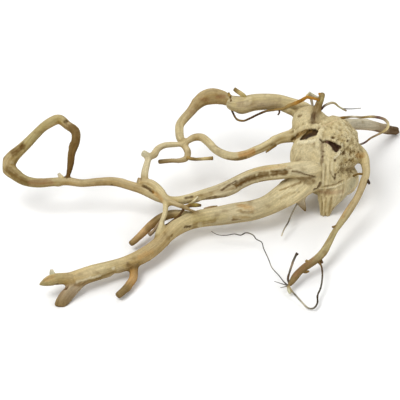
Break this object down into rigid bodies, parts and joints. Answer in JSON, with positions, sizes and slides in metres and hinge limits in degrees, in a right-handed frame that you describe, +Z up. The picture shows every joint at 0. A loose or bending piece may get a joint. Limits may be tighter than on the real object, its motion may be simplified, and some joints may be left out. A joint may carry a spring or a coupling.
{
  "type": "spiderwood root",
  "caption": "Dried spiderwood root for an aquarium or terrarium: a knobbly hollowed crown with long winding roots, one looped end and fine rootlets.",
  "frame": {"origin": "middle of the flat foot under the crown, on the surface that the root rests on", "axes": "+X along the roots from the looped end towards the crown, +Y away from the picture's side, +Z up"},
  "size_m": [0.5199, 0.3856, 0.1286],
  "materials": {
    "spiderwood": "matte, dry and bark-stripped"
  },
  "bodies": {
    "root": {"spiderwood_root": "spiderwood"}
  },
  "joints": []
}
